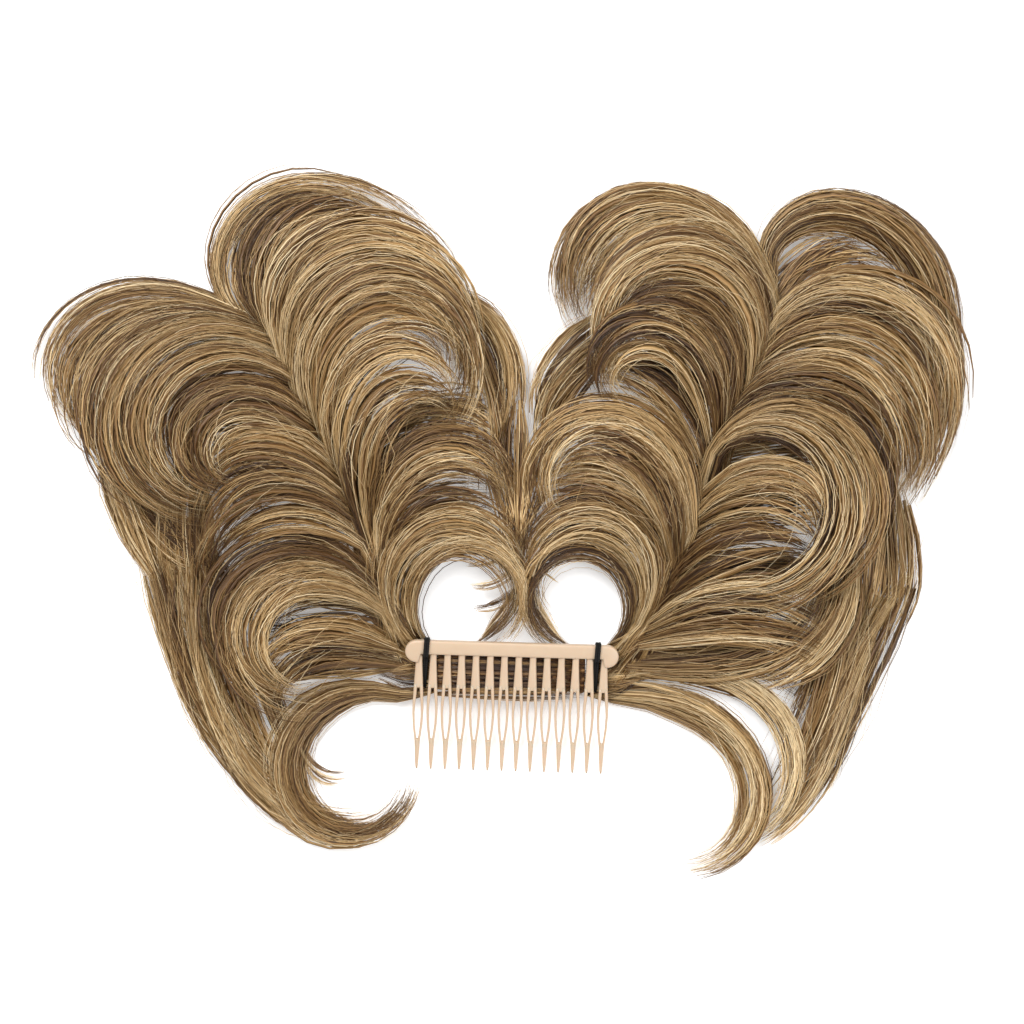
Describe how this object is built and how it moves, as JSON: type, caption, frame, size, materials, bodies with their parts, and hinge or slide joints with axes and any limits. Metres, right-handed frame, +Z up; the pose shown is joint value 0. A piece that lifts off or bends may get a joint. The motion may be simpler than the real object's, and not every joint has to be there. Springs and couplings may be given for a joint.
{
  "type": "comb-mounted curled hairpiece",
  "caption": "Comb-mounted hairpiece laid open flat: wings of curled synthetic hair spread from bound roots at the ends of a plastic side comb, held by a sewn band and elastic ties.",
  "frame": {"origin": "middle of the whole piece's box, on the surface that it lies on", "axes": "+X along the comb's bar to the right as seen from above, +Y away from the comb's teeth, +Z up from the surface"},
  "size_m": [0.35, 0.2686, 0.0346],
  "materials": {
    "comb_plastic": "moulded nude plastic, satin, a little translucent",
    "sewn_band": "dark stitched weft",
    "elastic": "black covered elastic",
    "hair": "curled synthetic hair, brunette with ash-blonde highlights"
  },
  "bodies": {
    "root": {"comb": "comb_plastic", "weft_band": "sewn_band", "elastic_tie_left": "elastic", "elastic_tie_right": "elastic", "left_wing": "hair", "right_wing": "hair", "left_ring_curl": "hair", "left_tail_lock": "hair", "right_ring_curl": "hair", "right_tail_lock": "hair"}
  },
  "joints": []
}
